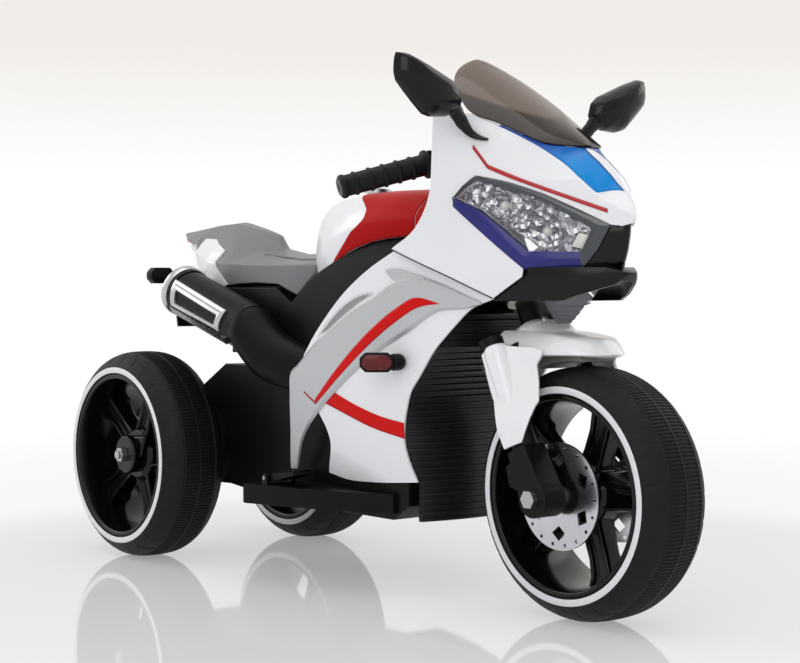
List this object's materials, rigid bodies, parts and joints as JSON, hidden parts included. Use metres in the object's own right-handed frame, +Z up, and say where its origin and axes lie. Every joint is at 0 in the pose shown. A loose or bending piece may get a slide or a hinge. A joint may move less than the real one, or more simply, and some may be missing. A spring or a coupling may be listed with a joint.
{
  "type": "kids electric ride-on motorbike",
  "caption": "Battery ride-on for a small child in sport motorbike style, with a raked steering fork, fairing, screen, tank, seat, twin rear wheels and an enclosed geared motor.",
  "frame": {"origin": "on the floor under the middle of the whole object", "axes": "+X forward, +Y to the rider's left, +Z up"},
  "size_m": [1.058, 0.4052, 0.6814],
  "materials": {
    "white_shell": "moulded gloss white plastic",
    "black_hull": "moulded black plastic, fine texture",
    "black_gloss": "moulded black plastic, gloss",
    "silver_panel": "silver-grey metallic plastic",
    "seat_grey": "matte grey moulded plastic",
    "tyre_foam": "black moulded foam with a pale side band",
    "smoke_screen": "smoke tinted clear plastic",
    "lamp_clear": "clear lamp cover",
    "lamp_reflector": "bright vacuum-plated plastic",
    "lamp_red": "dark red lamp lens",
    "bright_trim": "bright plated trim",
    "steel": "plain steel",
    "black_steel": "black painted steel",
    "grip_rubber": "soft black rubber",
    "mirror_glass": "mirror",
    "gear_nylon": "natural nylon",
    "board_green": "circuit board",
    "button_red": "red moulded button"
  },
  "bodies": {
    "frame": {"hull_right": "black_hull", "hull_left": "black_hull", "radiator_shell": "black_hull", "footboard_right": "black_hull", "footboard_left": "black_hull", "steering_head": "black_steel", "head_bushes": "gear_nylon", "rear_axle": "steel", "gearbox_case": "black_hull", "gearbox_lid": "black_hull", "drive_motor": "steel", "battery": "black_hull", "control_board": "board_green", "speaker": "black_hull", "charge_socket": "black_hull", "front_cowl": "white_shell", "windscreen": "smoke_screen", "nose_intake": "black_hull", "chin_spoiler": "black_hull", "headlight_lenses": "lamp_clear", "headlight_reflectors": "lamp_reflector", "side_fairing_right": "white_shell", "side_fairing_left": "white_shell", "silver_panels": "silver_panel", "turn_signal_stalks": "black_hull", "turn_signal_lenses": "lamp_red", "tank_cover": "white_shell", "tank_cap": "bright_trim", "seat": "seat_grey", "tail_cowl": "white_shell", "tail_light": "lamp_red", "exhaust_cans": "black_hull", "exhaust_plates": "bright_trim", "plate_bracket": "black_hull", "dashboard": "black_hull", "mirror_housings": "black_gloss", "mirror_glasses": "mirror_glass", "pedal_pin": "steel"},
    "steering": {"steering_column": "black_steel", "handlebar": "black_steel", "grips": "grip_rubber", "switch_pods": "black_hull", "fork_legs": "black_hull", "fork_covers": "white_shell", "front_mudguard": "white_shell", "front_axle": "steel"},
    "front_wheel": {"front_rim": "black_gloss", "front_tyre": "tyre_foam", "brake_discs": "steel"},
    "rear_wheel_right": {"rear_rim_right": "black_gloss", "rear_tyre_right": "tyre_foam", "output_gear": "gear_nylon"},
    "rear_wheel_left": {"rear_rim_left": "black_gloss", "rear_tyre_left": "tyre_foam"},
    "compound_gear": {"compound_gear": "gear_nylon"},
    "motor_pinion": {"motor_pinion": "steel"},
    "accelerator_pedal": {"accelerator_pedal": "black_hull"},
    "power_button": {"power_button": "button_red"},
    "direction_rocker": {"direction_rocker": "black_hull"},
    "horn_button": {"horn_button": "button_red"}
  },
  "joints": [
    {"name": "steering_turn", "type": "hinge", "parent": "frame", "child": "steering", "pos_m": [0.379, 0, 0.15], "axis": [-0.4384, 0, 0.8988], "range_deg": [-18, 18]},
    {"name": "front_wheel_spin", "type": "hinge", "parent": "steering", "child": "front_wheel", "pos_m": [0.379, 0, 0.15], "axis": [0, 1, 0], "continuous": true},
    {"name": "rear_wheel_right_spin", "type": "hinge", "parent": "frame", "child": "rear_wheel_right", "pos_m": [-0.379, 0, 0.15], "axis": [0, 1, 0], "continuous": true},
    {"name": "rear_wheel_left_spin", "type": "hinge", "parent": "frame", "child": "rear_wheel_left", "pos_m": [-0.379, 0, 0.15], "axis": [0, 1, 0], "continuous": true},
    {"name": "compound_gear_spin", "type": "hinge", "parent": "frame", "child": "compound_gear", "pos_m": [-0.33954, 0, 0.16057], "axis": [0, 1, 0], "continuous": true},
    {"name": "motor_pinion_spin", "type": "hinge", "parent": "frame", "child": "motor_pinion", "pos_m": [-0.30473, 0, 0.16671], "axis": [0, 1, 0], "continuous": true},
    {"name": "pedal_press", "type": "hinge", "parent": "frame", "child": "accelerator_pedal", "pos_m": [-0.07, -0.131, 0.14], "axis": [0, 1, 0], "range_deg": [0, 6], "stiffness_Nm_per_rad": 2},
    {"name": "power_press", "type": "slide", "parent": "frame", "child": "power_button", "axis": [0, 0, -1], "range_m": [0, 0.0025], "stiffness_N_per_m": 400},
    {"name": "direction_rock", "type": "hinge", "parent": "frame", "child": "direction_rocker", "pos_m": [0.262, 0.034, 0.562], "axis": [0, 1, 0], "range_deg": [-9, 9]},
    {"name": "horn_press", "type": "slide", "parent": "steering", "child": "horn_button", "axis": [1, 0, 0], "range_m": [0, 0.0015], "stiffness_N_per_m": 400}
  ],
  "couplings": [
    {"joint": "compound_gear_spin", "follows": "rear_wheel_right_spin", "ratio": -2.8571},
    {"joint": "motor_pinion_spin", "follows": "rear_wheel_right_spin", "ratio": 8.5714}
  ]
}
